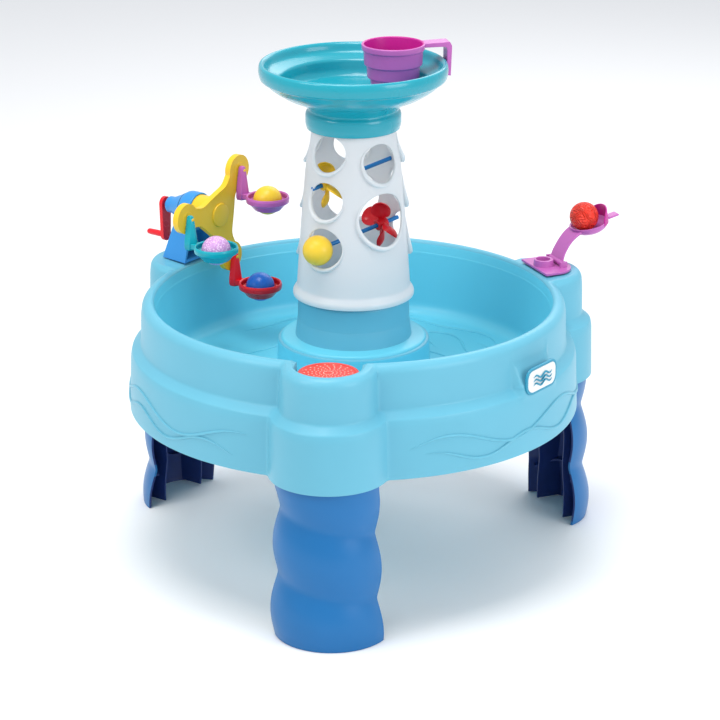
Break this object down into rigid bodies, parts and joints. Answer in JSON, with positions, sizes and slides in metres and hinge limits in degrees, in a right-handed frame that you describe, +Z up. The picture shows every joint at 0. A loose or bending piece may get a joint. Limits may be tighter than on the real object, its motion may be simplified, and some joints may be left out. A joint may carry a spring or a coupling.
{
  "type": "sand and water table",
  "caption": "Round play basin on legs with a perforated ball tower, a tipping-cup wheel on a crank, a spoon launcher, a bowl, a bucket and loose balls.",
  "frame": {"origin": "on the ground, in the middle of the object's footprint", "axes": "+Z up, -Y towards the front leg, +X to the right seen from the front"},
  "size_m": [0.7515, 0.741, 0.79],
  "materials": {
    "basin_blue": "moulded, satin",
    "leg_blue": "moulded, satin",
    "badge_white": "plain plate",
    "tower_white": "translucent, milky",
    "bowl_teal": "gloss",
    "axle_blue": "gloss",
    "bracket_blue": "gloss",
    "yellow": "gloss",
    "red": "gloss",
    "disc_red": "textured",
    "magenta": "gloss",
    "cup_teal_skin": "gloss",
    "ball_yellow": "smooth",
    "ball_lavender": "glitter",
    "ball_blue": "smooth",
    "ball_orange": "raised maze pattern"
  },
  "bodies": {
    "table": {"basin": "basin_blue", "leg_front": "leg_blue", "leg_left": "leg_blue", "leg_right": "leg_blue", "badge_plate": "badge_white", "tower": "tower_white", "bowl": "bowl_teal", "axle_upper": "axle_blue", "axle_lower": "axle_blue", "wheel_bracket": "bracket_blue", "launcher_base": "magenta", "launcher_pin": "magenta"},
    "wheel": {"wheel_star": "yellow", "wheel_shaft": "axle_blue", "wheel_crank": "red"},
    "cup_teal": {"cup_teal": "cup_teal_skin"},
    "ball_teal": {"ball_in_teal": "ball_lavender"},
    "cup_magenta": {"cup_magenta": "magenta"},
    "ball_magenta": {"ball_in_magenta": "ball_yellow"},
    "cup_red": {"cup_red": "red"},
    "ball_red": {"ball_in_red": "ball_blue"},
    "spinner_yellow": {"spinner_yellow": "yellow"},
    "spinner_red": {"spinner_red": "red"},
    "launcher": {"launcher_arm": "magenta"},
    "ball_launch": {"ball_launcher": "ball_orange"},
    "ball_port": {"ball_tower": "ball_yellow"},
    "bucket": {"bucket": "magenta"},
    "splash_disc": {"splash_disc": "disc_red"}
  },
  "joints": [
    {"name": "wheel_spin", "type": "hinge", "parent": "table", "child": "wheel", "pos_m": [-0.23494, 0.1565, 0.486], "axis": [-0.866, 0.5, 0], "continuous": true},
    {"name": "cup_teal_swing", "type": "hinge", "parent": "wheel", "child": "cup_teal", "pos_m": [-0.27398, 0.08887, 0.49795], "axis": [-0.866, 0.5, 0], "continuous": true},
    {"name": "ball_teal_lift", "type": "slide", "parent": "cup_teal", "child": "ball_teal", "axis": [0, 0, 1], "range_m": [0, 0.05]},
    {"name": "cup_magenta_swing", "type": "hinge", "parent": "wheel", "child": "cup_magenta", "pos_m": [-0.21024, 0.19928, 0.54765], "axis": [-0.866, 0.5, 0], "continuous": true},
    {"name": "ball_magenta_lift", "type": "slide", "parent": "cup_magenta", "child": "ball_magenta", "axis": [0, 0, 1], "range_m": [0, 0.05]},
    {"name": "cup_red_swing", "type": "hinge", "parent": "wheel", "child": "cup_red", "pos_m": [-0.22059, 0.18135, 0.4124], "axis": [-0.866, 0.5, 0], "continuous": true},
    {"name": "ball_red_lift", "type": "slide", "parent": "cup_red", "child": "ball_red", "axis": [0, 0, 1], "range_m": [0, 0.05]},
    {"name": "spinner_yellow_spin", "type": "hinge", "parent": "table", "child": "spinner_yellow", "pos_m": [-0.05358, -0.00213, 0.58782], "axis": [0.7376, 0.6526, 0.1736], "continuous": true},
    {"name": "spinner_red_spin", "type": "hinge", "parent": "table", "child": "spinner_red", "pos_m": [0.02165, 0.06443, 0.50903], "axis": [0.7376, 0.6526, 0.1736], "continuous": true},
    {"name": "launcher_flex", "type": "hinge", "parent": "table", "child": "launcher", "pos_m": [0.28121, 0.2025, 0.417], "axis": [-0.5, 0.866, 0], "range_deg": [-10, 24], "stiffness_Nm_per_rad": 0.6},
    {"name": "launcher_ball_lift", "type": "slide", "parent": "launcher", "child": "ball_launch", "axis": [0, 0, 1], "range_m": [0, 0.05]},
    {"name": "port_ball_out", "type": "slide", "parent": "table", "child": "ball_port", "axis": [-0.5476, -0.8368, 0], "range_m": [0, 0.05]},
    {"name": "bucket_lift", "type": "slide", "parent": "table", "child": "bucket", "axis": [0, 0, 1], "range_m": [0, 0.06]},
    {"name": "disc_lift", "type": "slide", "parent": "table", "child": "splash_disc", "axis": [0, 0, 1], "range_m": [0, 0.03]}
  ],
  "couplings": [
    {"joint": "cup_teal_swing", "follows": "wheel_spin", "ratio": -1},
    {"joint": "cup_magenta_swing", "follows": "wheel_spin", "ratio": -1},
    {"joint": "cup_red_swing", "follows": "wheel_spin", "ratio": -1}
  ]
}
